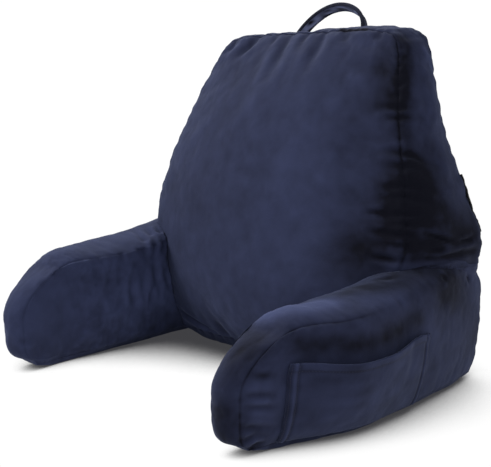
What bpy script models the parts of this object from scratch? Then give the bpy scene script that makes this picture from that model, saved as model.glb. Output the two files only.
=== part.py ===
"""Reading pillow with arms: a filled wedge back, two filled boxed arms, a patch pocket on the
outer face of each arm, a carrying handle sewn into the top seam and a short zip behind.

Metres, +Z up. The pillow stands on Z = 0 with its origin on the floor under the middle of its
box. The sitter leans on the back cushion and faces -Y, with one arm cushion at each hand.

Each cushion is a box of cloth: a front panel (depth = -1), a rear panel (depth = +1) and a
boxing strip round them. A point of its skin is named by three numbers from -1 to 1: across,
up and depth on the back; along, up and depth on an arm, whose outer panel has depth = +1.
"""
from math import cos, pi, sin

import bmesh
import bpy
import numpy as np

# ---------------------------------------------------------------- driving sizes
CLEARANCE = 0.0003          # gap between pieces that touch
FLAT_SHARE = 0.72           # share of each base that lies flat on the floor
ROUND = 2                   # powers that say how soon a swell falls off towards a seam
FULL = 3
FLAT = 6

BACK_FOOT_TUCK = 0.008      # how far the cushions draw in at their base seams
ARM_FOOT_TUCK = 0.005
FRONT_EDGE_Y = 0.0669       # the front panel's foot; depths below are counted from about there

BACK_HEIGHT = 0.480
BACK_SEAM_LIFT = 0.018      # height of the base seams over the floor
BACK_CROWN = 0.053          # how far the front panel swells at its middle
REAR_CROWN = 0.018
GUSSET_SWELL = 0.015        # how far the side strips swell between their seams
TOP_SWELL = 0.004
TOP_FALL = 0.010            # how far the top strip falls towards the rear, left of its middle
FRONT_TOP_ROUNDNESS = {"left": 6.0, "right": 10.0}
REAR_TOP_ROUNDNESS = 18.0
BACK_BASE_ROUNDNESS = 5.0
BACK_GRID = (24, 26, 4)     # cells across, up and through

# height, half width of the front seam, its depth, half width of the rear seam, its depth
BACK_ROWS = (
    (0.000, 0.197, -0.004, 0.200, 0.150),
    (0.090, 0.197, -0.012, 0.220, 0.148),
    (0.145, 0.228, -0.004, 0.268, 0.146),
    (0.190, 0.243, 0.009, 0.276, 0.142),
    (0.270, 0.233, 0.024, 0.254, 0.138),
    (0.360, 0.202, 0.048, 0.215, 0.133),
    (0.440, 0.179, 0.078, 0.193, 0.139),
    (BACK_HEIGHT, 0.175, 0.091, 0.187, 0.141),
)

# the top edge has settled unevenly: place across, height of the seam over BACK_HEIGHT
TOP_EDGE_ROWS = (
    (-1.0, -0.009),
    (-0.5, -0.004),
    (0.0, 0.002),
    (0.5, 0.007),
    (1.0, 0.012),
)

# folds drawn in by the top seam: place across the front panel, lean, half width, length, depth
TOP_PUCKERS = (
    (-0.70, 0.10, 0.10, 0.42, 0.006),
    (-0.34, 0.16, 0.09, 0.36, 0.005),
    (0.02, 0.14, 0.08, 0.44, 0.006),
    (0.36, 0.10, 0.08, 0.34, 0.005),
    (0.70, 0.04, 0.08, 0.40, 0.005),
)

ARM_REAR = 0.155            # depth of an arm's rear end, beside the back cushion
ARM_SEAM_LIFT = 0.009
ARM_INNER_CROWN = 0.007     # how far an inner arm panel swells at its middle
ARM_TOP_SWELL = 0.014
ARM_END_SWELL = 0.013
ARM_GRID = (22, 11, 6)      # cells along, up and through

# share of the way from rear end to tip, distance of the middle from X = 0, half thickness at the
# seams, height, swell of the outer panel
ARM_ROWS = (
    (0.00, 0.229, 0.041, 0.214, 0.006),
    (0.22, 0.236, 0.045, 0.179, 0.007),
    (0.45, 0.239, 0.049, 0.156, 0.009),
    (0.68, 0.238, 0.046, 0.155, 0.014),
    (0.85, 0.227, 0.029, 0.165, 0.022),
    (1.00, 0.220, 0.024, 0.148, 0.024),
)
# both arms are soft, and one lies a little further forward than the other
ARM_REACH = {"left": 0.288, "right": 0.300}
SIDE_SIGN = {"left": -1.0, "right": 1.0}
TIP_ROUNDNESS = 2.3
REAR_ROUNDNESS = 2.7
BASE_ROUNDNESS = 6.0

POCKET_SHEET = 0.0025       # thickness of the pocket's folded cloth
POCKET_SEAT = 0.0009        # gap to the arm along the sewn edges
POCKET_GAPE = 0.015         # how far the middle of the mouth hangs off the arm
POCKET_FULLNESS = 0.75      # below 1, the mouth's curve is fuller than a plain arc
POCKET_SKEW = 1.3           # above 1, the mouth gapes more towards the arm's tip
POCKET_SAG = 0.05           # how far the mouth drops between its corners, as a share of the arm
POCKET_FRONT = (0.73, 0.755) # place along the arm at the foot and at the mouth
POCKET_REAR = (-0.24, -0.29)
POCKET_UP = (-0.96, 0.36)   # foot and mouth, up the arm
POCKET_GRID = (16, 6)

HANDLE_SPAN = 0.106         # between the two ends, at the top seam
HANDLE_MIDDLE = 0.003       # the handle is sewn on a little to the right
HANDLE_RISE = 0.054
HANDLE_LEAN = 0.030         # how far its crown tips back
HANDLE_DEPTH = 0.140        # depth of the two ends
HANDLE_ROOT = 0.463         # height of the two ends, inside the seam
HANDLE_WIDTH = 0.019
HANDLE_TWIST = 0.38         # turn of the right end against the left one, in radians
HANDLE_THICKNESS = 0.006
HANDLE_SQUARENESS = 0.8     # below 1, the loop is squarer than a half ellipse
HANDLE_STEPS = 22

ZIP_UP = (-0.15, 0.18)      # foot and head, up the back's right rear seam
ZIP_WIDTH = 0.012
ZIP_THICKNESS = 0.0024
ZIP_STEPS = 12

CHAMFER_SHARE = 0.3         # chamfer of a band's long edges, as a share of its thickness
NEARBY = 0.02               # step, in skin units, to read a direction on a skin

# name: base colour, roughness
MATERIALS = {
    "back_velour": ((0.030, 0.036, 0.085), 0.85),
    "arm_velour": ((0.028, 0.034, 0.082), 0.85),
    "pocket_velour": ((0.029, 0.036, 0.080), 0.85),
    "strap": ((0.036, 0.045, 0.100), 0.80),
    "zip": ((0.008, 0.008, 0.010), 0.55),
}


# ---------------------------------------------------------------- curves and profiles
def along_rows(rows, place, column):
    """One column of a table, read at a place in its first column, as a smooth curve."""
    places = np.array([row[0] for row in rows])
    values = np.array([row[column] for row in rows])
    slopes = np.gradient(values, places)
    place = min(max(place, places[0]), places[-1])
    start = min(int(np.searchsorted(places, place, side="right")) - 1, len(rows) - 2)
    step = places[start + 1] - places[start]
    part = (place - places[start]) / step
    return float(
        (1 + 2 * part) * (1 - part) ** 2 * values[start]
        + part * (1 - part) ** 2 * step * slopes[start]
        + part * part * (3 - 2 * part) * values[start + 1]
        + part * part * (part - 1) * step * slopes[start + 1]
    )


def smooth_step(low, high, value):
    """0 below low, 1 above high and an easy slope between."""
    part = min(max((value - low) / (high - low), 0.0), 1.0)
    return part * part * (3 - 2 * part)


def round_corner(across, up, roundness):
    """Moves a point of a square into the square with rounded corners of the same size."""
    shrink = (1 + abs(across * up) ** roundness) ** (-1 / roundness)
    return across * shrink, up * shrink


def swell(value, power):
    """1 in the middle of a panel or strip, falling to 0 at its seams."""
    return 1 - abs(value) ** power


def base_height(across, depth, seam_lift):
    """A base lies flat on the floor and lifts towards the seams round it."""
    return seam_lift * smooth_step(FLAT_SHARE, 1.0, max(abs(across), abs(depth)))


# ---------------------------------------------------------------- the cushions
def pucker_depth(across, up):
    """How far the folds at the top seam draw in the front panel."""
    total = 0.0
    for middle, lean, half_width, length, depth in TOP_PUCKERS:
        drop = 1 - up
        offset = (across - middle - lean * drop / length) / half_width
        total += depth * max(0.0, 1 - drop / length) * np.exp(-offset * offset)
    return total


def back_point(across, up, depth):
    """A point of the back cushion's skin."""
    back_share = (depth + 1) / 2
    if up > 0:
        front_roundness = FRONT_TOP_ROUNDNESS["right" if across > 0 else "left"]
        roundness = front_roundness + (REAR_TOP_ROUNDNESS - front_roundness) * back_share
    else:
        roundness = BACK_BASE_ROUNDNESS
    x_share, z_share = round_corner(across, up, roundness)
    rise = (z_share + 1) / 2
    z = BACK_SEAM_LIFT + (BACK_HEIGHT - BACK_SEAM_LIFT) * rise
    front_width, front_depth, rear_width, rear_depth = (
        along_rows(BACK_ROWS, z, column) for column in (1, 2, 3, 4))
    z += along_rows(TOP_EDGE_ROWS, across, 1) * rise ** 3
    z -= TOP_FALL * smooth_step(0.7, -0.2, across) * back_share * rise ** 6
    tuck = BACK_FOOT_TUCK * (1 - rise) ** 8
    x = x_share * (front_width + (rear_width - front_width) * back_share - tuck)
    crown = swell(across, ROUND) * swell(up, FULL)
    front_y = front_depth + tuck - BACK_CROWN * crown + pucker_depth(across, up) * swell(across, FLAT)
    rear_y = rear_depth - tuck + REAR_CROWN * crown
    y = front_y + (rear_y - front_y) * back_share
    if abs(across) == 1:
        x += across * GUSSET_SWELL * swell(depth, ROUND) * swell(up, FLAT)
    if up == 1:
        z += TOP_SWELL * swell(depth, ROUND) * swell(across, FLAT)
    if up == -1:
        z = base_height(across, depth, BACK_SEAM_LIFT)
    return np.array((x, FRONT_EDGE_Y + y, z))


def arm_point(side, along, up, depth):
    """A point of an arm cushion's skin; along is -1 at the rear end and 1 at the tip."""
    if up > 0:
        roundness = TIP_ROUNDNESS if along > 0 else REAR_ROUNDNESS
    else:
        roundness = BASE_ROUNDNESS
    along_share, z_share = round_corner(along, up, roundness)
    share = (along_share + 1) / 2
    middle, half_thickness, height, outer_crown = (
        along_rows(ARM_ROWS, share, column) for column in (1, 2, 3, 4))
    rise = (z_share + 1) / 2
    z = ARM_SEAM_LIFT + (height - ARM_SEAM_LIFT) * rise
    tuck = ARM_FOOT_TUCK * (1 - rise) ** 5
    y = ARM_REAR - (ARM_REACH[side] + ARM_REAR) * share + tuck * along_share
    x = middle + depth * (half_thickness - tuck)
    if abs(depth) == 1:
        crown = outer_crown if depth > 0 else ARM_INNER_CROWN
        x += depth * crown * swell(along, FULL) * swell(up, FULL)
    if up == 1:
        z += ARM_TOP_SWELL * swell(depth, ROUND) * swell(along, FLAT)
    if abs(along) == 1:
        y -= along * ARM_END_SWELL * swell(depth, ROUND) * swell(up, FLAT)
    if up == -1:
        z = base_height(along, depth, ARM_SEAM_LIFT)
    return np.array((SIDE_SIGN[side] * x, FRONT_EDGE_Y + y, z))


def box_skin(point, cells):
    """Corner points and four-sided faces of a box whose six sides are grids of cells.

    point(a, b, c) places the corner at a, b, c, each from -1 to 1.
    """
    places, number, faces = [], {}, []

    def corner(key):
        if key not in number:
            number[key] = len(places)
            places.append(point(*(2 * step / count - 1 for step, count in zip(key, cells))))
        return number[key]

    for axis in range(3):
        first, second = (axis + 1) % 3, (axis + 2) % 3
        for level in (0, cells[axis]):
            for i in range(cells[first]):
                for j in range(cells[second]):
                    ring = []
                    for step_i, step_j in ((0, 0), (1, 0), (1, 1), (0, 1)):
                        key = [0, 0, 0]
                        key[axis], key[first], key[second] = level, i + step_i, j + step_j
                        ring.append(corner(tuple(key)))
                    faces.append(ring if level else ring[::-1])
    return places, faces


# ---------------------------------------------------------------- Blender objects
def make_material(name):
    """A plain Principled material."""
    colour, roughness = MATERIALS[name]
    material = bpy.data.materials.new(name)
    material.use_nodes = True
    shader = material.node_tree.nodes["Principled BSDF"]
    shader.inputs["Base Color"].default_value = (*colour, 1.0)
    shader.inputs["Roughness"].default_value = roughness
    shader.inputs["Metallic"].default_value = 0.0
    return material


def add_solid(name, places, faces, material):
    """A closed mesh object with its faces turned outwards."""
    mesh = bpy.data.meshes.new(name)
    mesh.from_pydata([tuple(map(float, place)) for place in places], [], faces)
    shape = bmesh.new()
    shape.from_mesh(mesh)
    bmesh.ops.recalc_face_normals(shape, faces=shape.faces)
    bmesh.ops.triangulate(shape, faces=shape.faces)
    shape.to_mesh(mesh)
    shape.free()
    mesh.materials.append(material)
    mesh.shade_smooth()
    mesh.set_sharp_from_angle(angle=pi / 4)
    solid = bpy.data.objects.new(name, mesh)
    bpy.context.scene.collection.objects.link(solid)
    return solid


def cut_with(solid, cutter):
    """Takes the cutter's space out of a solid."""
    boolean = solid.modifiers.new("cut_" + cutter.name, "BOOLEAN")
    boolean.operation = "DIFFERENCE"
    boolean.solver = "EXACT"
    boolean.object = cutter


def make_back(material):
    """The back cushion, a wedge that leans back; returns a slightly larger copy to cut with."""
    places, faces = box_skin(back_point, BACK_GRID)
    add_solid("back_cushion", places, faces, material)
    cutter = add_solid("back_space", places, faces, material)
    grown = bmesh.new()
    grown.from_mesh(cutter.data)
    moves = [corner.normal * CLEARANCE * corner.calc_shell_factor() for corner in grown.verts]
    for corner, move in zip(grown.verts, moves):
        corner.co += move
    grown.to_mesh(cutter.data)
    grown.free()
    cutter.hide_render = True
    cutter.display_type = "WIRE"
    return cutter


def make_arm(side, cutter, material):
    """An arm cushion, pressed against the side of the back."""
    places, faces = box_skin(lambda *at: arm_point(side, *at), ARM_GRID)
    arm = add_solid("arm_" + side, places, faces, material)
    cut_with(arm, cutter)


def outward(side, along, up):
    """Direction straight out of an arm's outer panel."""
    by_length = arm_point(side, along + NEARBY, up, 1) - arm_point(side, along - NEARBY, up, 1)
    by_height = arm_point(side, along, up + NEARBY, 1) - arm_point(side, along, up - NEARBY, 1)
    normal = np.cross(by_length, by_height)
    normal /= np.linalg.norm(normal)
    return normal if normal[0] * SIDE_SIGN[side] > 0 else -normal


def make_pocket(side, material):
    """A patch pocket: a thin sheet sewn to the arm at its foot and ends, slack at its mouth."""
    columns, rows = POCKET_GRID
    inner, outer = [], []
    for row in range(rows + 1):
        rise = row / rows
        rear = POCKET_REAR[0] + (POCKET_REAR[1] - POCKET_REAR[0]) * rise
        front = POCKET_FRONT[0] + (POCKET_FRONT[1] - POCKET_FRONT[0]) * rise
        for column in range(columns + 1):
            run = column / columns
            along = rear + (front - rear) * run
            bow = sin(pi * run ** POCKET_SKEW)
            up = POCKET_UP[0] + (POCKET_UP[1] - POCKET_UP[0]) * rise - POCKET_SAG * bow * rise
            gap = POCKET_SEAT + POCKET_GAPE * bow ** POCKET_FULLNESS * rise ** POCKET_FULLNESS
            foot = arm_point(side, along, up, 1)
            normal = outward(side, along, up)
            inner.append(foot + normal * gap)
            outer.append(foot + normal * (gap + POCKET_SHEET))
    places = inner + outer
    faces = []
    width = columns + 1
    for row in range(rows):
        for column in range(columns):
            ring = [row * width + column, row * width + column + 1,
                    (row + 1) * width + column + 1, (row + 1) * width + column]
            faces.append(ring[::-1])
            faces.append([corner + len(inner) for corner in ring])
    rim = list(range(width))
    rim += [row * width + columns for row in range(1, rows + 1)]
    rim += [rows * width + column for column in range(columns - 1, -1, -1)]
    rim += [row * width for row in range(rows - 1, 0, -1)]
    for here, there in zip(rim, rim[1:] + rim[:1]):
        faces.append([here, there, there + len(inner), here + len(inner)])
    add_solid("pocket_" + side, places, faces, material)


def band(path, widthways, outwards, width, thickness):
    """Points and faces of a flat band with chamfered edges, laid along a path."""
    edge = thickness * CHAMFER_SHARE
    outline = ((-0.5 * width, -0.5 * thickness + edge), (-0.5 * width + edge, -0.5 * thickness),
               (0.5 * width - edge, -0.5 * thickness), (0.5 * width, -0.5 * thickness + edge),
               (0.5 * width, 0.5 * thickness - edge), (0.5 * width - edge, 0.5 * thickness),
               (-0.5 * width + edge, 0.5 * thickness), (-0.5 * width, 0.5 * thickness - edge))
    places, faces = [], []
    for middle, wide, out in zip(path, widthways, outwards):
        places += [middle + wide * a + out * b for a, b in outline]
    sides = len(outline)
    for step in range(len(path) - 1):
        for side in range(sides):
            after = (side + 1) % sides
            faces.append([step * sides + side, step * sides + after,
                          (step + 1) * sides + after, (step + 1) * sides + side])
    faces.append(list(range(sides))[::-1])
    faces.append([(len(path) - 1) * sides + side for side in range(sides)])
    return places, faces


def make_handle(cutter, material):
    """The carrying handle: a strap whose two ends are sewn into the rear top seam."""
    path, widthways, outwards = [], [], []
    lean = np.array((0.0, HANDLE_LEAN, HANDLE_RISE))
    height = np.linalg.norm(lean)
    upwards = lean / height
    aside = np.array((1.0, 0.0, 0.0))
    across = np.cross(aside, upwards)
    start = np.array((HANDLE_MIDDLE, FRONT_EDGE_Y + HANDLE_DEPTH, HANDLE_ROOT))
    for step in range(HANDLE_STEPS + 1):
        angle = pi * step / HANDLE_STEPS
        sideways = aside * cos(angle) * HANDLE_SPAN / 2
        path.append(start - sideways + upwards * height * sin(angle) ** HANDLE_SQUARENESS)
    for step in range(HANDLE_STEPS + 1):
        before = path[max(step - 1, 0)]
        after = path[min(step + 1, HANDLE_STEPS)]
        tangent = (after - before) / np.linalg.norm(after - before)
        turn = HANDLE_TWIST * step / HANDLE_STEPS
        wide = across * cos(turn) + aside * sin(turn)
        wide -= tangent * wide.dot(tangent)
        wide /= np.linalg.norm(wide)
        widthways.append(wide)
        outwards.append(np.cross(tangent, wide))
    places, faces = band(path, widthways, outwards, HANDLE_WIDTH, HANDLE_THICKNESS)
    handle = add_solid("handle", places, faces, material)
    cut_with(handle, cutter)


def make_zip(cutter, material):
    """The short zip that lies along the back cushion's right rear seam."""
    path, widthways, outwards = [], [], []
    for step in range(ZIP_STEPS + 1):
        up = ZIP_UP[0] + (ZIP_UP[1] - ZIP_UP[0]) * step / ZIP_STEPS
        here = back_point(1, up, 1)
        tangent = back_point(1, up + NEARBY, 1) - back_point(1, up - NEARBY, 1)
        tangent /= np.linalg.norm(tangent)
        inwards = back_point(1 - NEARBY, up, 1) - here
        onwards = back_point(1, up, 1 - NEARBY) - here
        out = -(inwards / np.linalg.norm(inwards) + onwards / np.linalg.norm(onwards))
        out -= tangent * out.dot(tangent)
        out /= np.linalg.norm(out)
        path.append(here + out * ZIP_THICKNESS / 2)
        widthways.append(np.cross(tangent, out))
        outwards.append(out)
    places, faces = band(path, widthways, outwards, ZIP_WIDTH, ZIP_THICKNESS)
    zip_strip = add_solid("rear_zip", places, faces, material)
    cut_with(zip_strip, cutter)


def main():
    """Clears the scene and builds the pillow."""
    for thing in list(bpy.context.scene.objects):
        bpy.data.objects.remove(thing, do_unlink=True)
    materials = {name: make_material(name) for name in MATERIALS}
    back_space = make_back(materials["back_velour"])
    for side in SIDE_SIGN:
        make_arm(side, back_space, materials["arm_velour"])
        make_pocket(side, materials["pocket_velour"])
    make_handle(back_space, materials["strap"])
    make_zip(back_space, materials["zip"])


main()
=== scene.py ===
"""Looks of the reading pillow with arms: crowned velour cushions with drawn-in seams, patch
pockets, a carrying strap and a zip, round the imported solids.

Metres, +Z up. A point of a cushion's skin is named by three numbers from -1 to 1: across, up
and depth on the back; along, up and depth on an arm. Depth is -1 on the front or inner panel
and 1 on the rear or outer panel, and what lies between is the boxing strip.
"""

from functools import partial
from itertools import product
from math import cos, pi, radians, sin

import bmesh
import bpy
import numpy as np
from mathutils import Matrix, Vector
from mathutils.bvhtree import BVHTree


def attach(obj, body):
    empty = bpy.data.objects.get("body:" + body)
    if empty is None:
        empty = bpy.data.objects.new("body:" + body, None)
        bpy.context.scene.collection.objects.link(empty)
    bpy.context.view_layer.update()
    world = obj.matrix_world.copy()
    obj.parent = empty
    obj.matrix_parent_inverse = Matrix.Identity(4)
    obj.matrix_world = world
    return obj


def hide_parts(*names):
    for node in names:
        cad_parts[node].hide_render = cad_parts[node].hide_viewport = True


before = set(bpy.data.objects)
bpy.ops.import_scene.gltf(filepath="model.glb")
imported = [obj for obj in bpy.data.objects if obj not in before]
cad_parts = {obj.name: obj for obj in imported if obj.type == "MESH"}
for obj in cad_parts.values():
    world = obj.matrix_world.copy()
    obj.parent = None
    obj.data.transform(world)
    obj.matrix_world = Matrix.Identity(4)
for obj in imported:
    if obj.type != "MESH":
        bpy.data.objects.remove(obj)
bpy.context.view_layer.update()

# -------- sizes, those of the solids or fitted close to them
FLAT_SHARE = 0.72  # share of each base that lies flat on the floor
BACK_FOOT_TUCK = 0.008  # how far the cushions draw in at their base seams
ARM_FOOT_TUCK = 0.005
FRONT_EDGE_Y = 0.0669  # the front panel's foot; depths below are counted from about there

BACK_HEIGHT = 0.480
BACK_SEAM_LIFT = 0.018  # height of the base seams over the floor
BACK_CROWN = 0.053  # how far the front panel swells at its middle
REAR_CROWN = 0.018
GUSSET_SWELL = 0.015
TOP_SWELL = 0.004
TOP_FALL = 0.010  # how far the top strip falls towards the rear, left of its middle
TOP_FALL_ACROSS = (0.7, -0.2)
FRONT_TOP_ROUNDNESS = {"left": 8.5, "right": 10.0}
REAR_TOP_ROUNDNESS = 12.0
BACK_BASE_ROUNDNESS = 11.0

# height, half width of the front seam, its depth, half width of the rear seam, its depth
BACK_ROWS = (
    (0.000, 0.197, -0.004, 0.200, 0.150),
    (0.090, 0.197, -0.012, 0.220, 0.148),
    (0.145, 0.228, -0.004, 0.268, 0.146),
    (0.190, 0.243, 0.009, 0.276, 0.142),
    (0.270, 0.233, 0.024, 0.254, 0.138),
    (0.360, 0.202, 0.048, 0.215, 0.133),
    (0.440, 0.179, 0.078, 0.193, 0.139),
    (BACK_HEIGHT, 0.175, 0.091, 0.187, 0.141),
)

# place across, height of the top seam over BACK_HEIGHT
TOP_EDGE_ROWS = ((-1.0, -0.009), (-0.5, -0.004), (0.0, 0.002), (0.5, 0.007), (1.0, 0.012))

ARM_REAR = 0.162
ARM_SEAM_LIFT = 0.009
ARM_INNER_CROWN = 0.007
ARM_TOP_SWELL = 0.014
ARM_END_SWELL = 0.013
# share of the way from rear end to tip, distance of the middle from X = 0, half thickness at the
# seams, height, swell of the outer panel
ARM_ROWS = (
    (0.00, 0.229, 0.041, 0.214, 0.006),
    (0.22, 0.236, 0.045, 0.179, 0.007),
    (0.45, 0.239, 0.049, 0.156, 0.009),
    (0.68, 0.238, 0.046, 0.155, 0.014),
    (0.85, 0.227, 0.029, 0.165, 0.022),
    (1.00, 0.220, 0.024, 0.148, 0.024),
)
ARM_REACH = {"left": 0.288, "right": 0.300}
SIDE_SIGN = {"left": -1.0, "right": 1.0}
TIP_ROUNDNESS = 2.3
REAR_ROUNDNESS = 2.7
BASE_ROUNDNESS = {"left": 6.5, "right": 11.0}

POCKET_SEAT = 0.0009
POCKET_GAPE = 0.015
POCKET_FULLNESS = 0.75
POCKET_SKEW = 1.3
POCKET_SAG = 0.05
POCKET_FRONT = (0.77, 0.755)
POCKET_REAR = (-0.24, -0.29)
POCKET_UP = (-0.96, 0.36)

HANDLE_SPAN = 0.122
HANDLE_MIDDLE = -0.002
HANDLE_SKEW = 0.006  # how far its top stands to the right of its feet's middle
HANDLE_RISE = 0.054
HANDLE_LEAN = 0.030
HANDLE_DEPTH = 0.140
HANDLE_ROOT = 0.463
HANDLE_WIDTH = 0.019
HANDLE_TWIST = 0.38  # turn of the right end against the left one
HANDLE_THICKNESS = 0.006
HANDLE_SQUARENESS = {"left": 1.15, "right": 0.8}  # the lower, the squarer its shoulder

ZIP_UP = (-0.15, 0.18)
ZIP_WIDTH = 0.012
ZIP_THICKNESS = 0.0024

# -------- fineness of the visible skin
BACK_CELLS = (80, 96, 26)
ARM_CELLS = (96, 36, 20)
SEAM_CLUSTER = 0.13  # draws the grid closer together towards the seams
BACK_HALF = (0.205, 0.235, 0.068)  # half sizes, to measure along the skin from its places
ARM_HALF = (0.215, 0.085, 0.046)
NEAR_ONE = 0.9999  # a place past this lies on the panel or strip at that end


# -------- curves and profiles
def along_rows(rows, places):
    """The columns of a table as smooth curves, read at an array of places in the first column."""
    starts, *columns = np.array(rows).T
    places = np.clip(places, starts[0], starts[-1])
    index = np.clip(np.searchsorted(starts, places, side="right") - 1, 0, len(rows) - 2)
    step = starts[index + 1] - starts[index]
    part = (places - starts[index]) / step
    curves = []
    for values in columns:
        slopes = np.gradient(values, starts)
        curves.append((1 + 2 * part) * (1 - part) ** 2 * values[index]
                      + part * (1 - part) ** 2 * step * slopes[index]
                      + part * part * (3 - 2 * part) * values[index + 1]
                      + part * part * (part - 1) * step * slopes[index + 1])
    return curves


def smooth_step(low, high, value):
    """0 below low, 1 above high and an easy slope between."""
    part = np.clip((value - low) / (high - low), 0.0, 1.0)
    return part * part * (3 - 2 * part)


def round_corner(across, up, roundness):
    """Moves points of a square into the square with rounded corners of the same size."""
    shrink = (1 + np.abs(across * up) ** roundness) ** (-1 / roundness)
    return across * shrink, up * shrink


def swell(value, power):
    """1 in the middle of a panel or strip, falling to 0 at its seams."""
    return 1 - np.abs(value) ** power


def unit(rows):
    """The rows, each brought to length 1."""
    return rows / np.linalg.norm(rows, axis=1, keepdims=True)


def square_to(tangent, rows):
    """The rows turned square to the tangent, each of length 1."""
    return unit(rows - tangent * (rows * tangent).sum(axis=1, keepdims=True))


def back_skin(across, up, depth):
    """Points of the back cushion's skin, as rows of X, Y and Z."""
    back_share = (depth + 1) / 2
    front_roundness = np.where(across > 0, FRONT_TOP_ROUNDNESS["right"], FRONT_TOP_ROUNDNESS["left"])
    top_roundness = front_roundness + (REAR_TOP_ROUNDNESS - front_roundness) * back_share
    x_share, z_share = round_corner(across, up, np.where(up > 0, top_roundness, BACK_BASE_ROUNDNESS))
    rise = (z_share + 1) / 2
    z = BACK_SEAM_LIFT + (BACK_HEIGHT - BACK_SEAM_LIFT) * rise
    front_width, front_depth, rear_width, rear_depth = along_rows(BACK_ROWS, z)
    z = z + along_rows(TOP_EDGE_ROWS, across)[0] * rise ** 3
    z = z - TOP_FALL * smooth_step(*TOP_FALL_ACROSS, across) * back_share * rise ** 6
    tuck = BACK_FOOT_TUCK * (1 - rise) ** 8
    x = x_share * (front_width + (rear_width - front_width) * back_share - tuck)
    crown = swell(across, 2) * swell(up, 3)
    front_y = front_depth + tuck - BACK_CROWN * crown
    rear_y = rear_depth - tuck + REAR_CROWN * crown
    y = front_y + (rear_y - front_y) * back_share
    on_side = np.abs(across) > NEAR_ONE
    x = x + np.where(on_side, np.sign(across) * GUSSET_SWELL * swell(depth, 2) * swell(up, 6), 0)
    z = z + np.where(up > NEAR_ONE, TOP_SWELL * swell(depth, 2) * swell(across, 6), 0)
    lift = BACK_SEAM_LIFT * smooth_step(FLAT_SHARE, 1.0, np.maximum(np.abs(across), np.abs(depth)))
    z = np.where(up < -NEAR_ONE, lift, z)
    return np.stack((x, FRONT_EDGE_Y + y, z), axis=-1)


def arm_skin(side, along, up, depth):
    """Points of an arm cushion's skin; along is -1 at the rear end and 1 at the tip."""
    top_roundness = np.where(along > 0, TIP_ROUNDNESS, REAR_ROUNDNESS)
    base_roundness = BASE_ROUNDNESS[side]
    along_share, z_share = round_corner(along, up, np.where(up > 0, top_roundness, base_roundness))
    share = (along_share + 1) / 2
    middle, half_thickness, height, outer_crown = along_rows(ARM_ROWS, share)
    rise = (z_share + 1) / 2
    z = ARM_SEAM_LIFT + (height - ARM_SEAM_LIFT) * rise
    tuck = ARM_FOOT_TUCK * (1 - rise) ** 5
    y = ARM_REAR - (ARM_REACH[side] + ARM_REAR) * share + tuck * along_share
    x = middle + depth * (half_thickness - tuck)
    crown = np.where(depth > 0, outer_crown, ARM_INNER_CROWN)
    on_panel = np.abs(depth) > NEAR_ONE
    x = x + np.where(on_panel, depth * crown * swell(along, 3) * swell(up, 3), 0)
    z = z + np.where(up > NEAR_ONE, ARM_TOP_SWELL * swell(depth, 2) * swell(along, 6), 0)
    on_end = np.abs(along) > NEAR_ONE
    y = y - np.where(on_end, np.sign(along) * ARM_END_SWELL * swell(depth, 2) * swell(up, 6), 0)
    lift = ARM_SEAM_LIFT * smooth_step(FLAT_SHARE, 1.0, np.maximum(np.abs(along), np.abs(depth)))
    z = np.where(up < -NEAR_ONE, lift, z)
    return np.stack((SIDE_SIGN[side] * x, FRONT_EDGE_Y + y, z), axis=-1)


# -------- skins as meshes
class Skin:
    """A closed box-like skin: its grid places and its four-sided faces."""

    def __init__(self, cells):
        number, faces = {}, []
        for axis in range(3):
            first, second = (axis + 1) % 3, (axis + 2) % 3
            for level in (0, cells[axis]):
                for i, j in product(range(cells[first]), range(cells[second])):
                    ring = []
                    for step_i, step_j in ((0, 0), (1, 0), (1, 1), (0, 1)):
                        key = [0, 0, 0]
                        key[axis], key[first], key[second] = level, i + step_i, j + step_j
                        ring.append(number.setdefault(tuple(key), len(number)))
                    faces.append(ring if level else ring[::-1])
        self.faces = faces
        even = 2 * np.array(list(number), float) / np.array(cells) - 1
        self.place = even + SEAM_CLUSTER * np.sin(pi * even)
        self.place = np.where(np.abs(even) > NEAR_ONE, np.sign(even), self.place)
        edge = np.abs(self.place) > NEAR_ONE
        self.held = (edge[:, 2] & (edge[:, 0] | edge[:, 1])) | (self.place[:, 1] < -NEAR_ONE)


def ease(mesh, values, share, passes):
    """Brings values at a mesh's points nearer to their neighbours' mean, a number of times."""
    count = len(values)
    edges = np.zeros((len(mesh.edges), 2), int)
    mesh.edges.foreach_get("vertices", edges.ravel())
    ends = np.concatenate((edges, edges[:, ::-1]))
    weight = np.bincount(ends[:, 0], minlength=count)[:, None]
    for _ in range(passes):
        total = np.stack([np.bincount(ends[:, 0], values[ends[:, 1], axis], count)
                          for axis in range(3)], axis=1)
        values = values + share * (total / weight - values)
    return values


def new_object(name, points, faces):
    """A mesh object in the scene, its faces turned outwards."""
    mesh = bpy.data.meshes.new(name)
    mesh.from_pydata([tuple(map(float, point)) for point in points], [], faces)
    shape = bmesh.new()
    shape.from_mesh(mesh)
    bmesh.ops.recalc_face_normals(shape, faces=shape.faces)
    shape.to_mesh(mesh)
    shape.free()
    mesh.shade_smooth()
    piece = bpy.data.objects.new(name, mesh)
    bpy.context.scene.collection.objects.link(piece)
    return piece


def tube_faces(rings):
    """The faces of a closed tube through rings of point numbers."""
    faces = [rings[0][::-1], rings[-1]]
    for low, high in zip(rings, rings[1:]):
        for side in range(len(low)):
            faces.append([low[side - 1], low[side], high[side], high[side - 1]])
    return faces


def read_vectors(rows, name):
    values = np.zeros(len(rows) * 3)
    rows.foreach_get(name, values)
    return values.reshape(-1, 3)


def read_points(mesh):
    return read_vectors(mesh.vertices, "co")


def write_points(mesh, points):
    mesh.vertices.foreach_set("co", points.astype(np.float32).ravel())
    mesh.update()


def store_pile_and_painted_light(mesh, values):
    """Keeps how much lighter or darker each point is drawn, painted light and shade with the pile's
    patches, where the velour reads it.
    """
    pile_and_painted_light = mesh.attributes.new("pile_and_painted_light", "FLOAT", "POINT")
    pile_and_painted_light.data.foreach_set("value", values.astype(np.float32))


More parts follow.
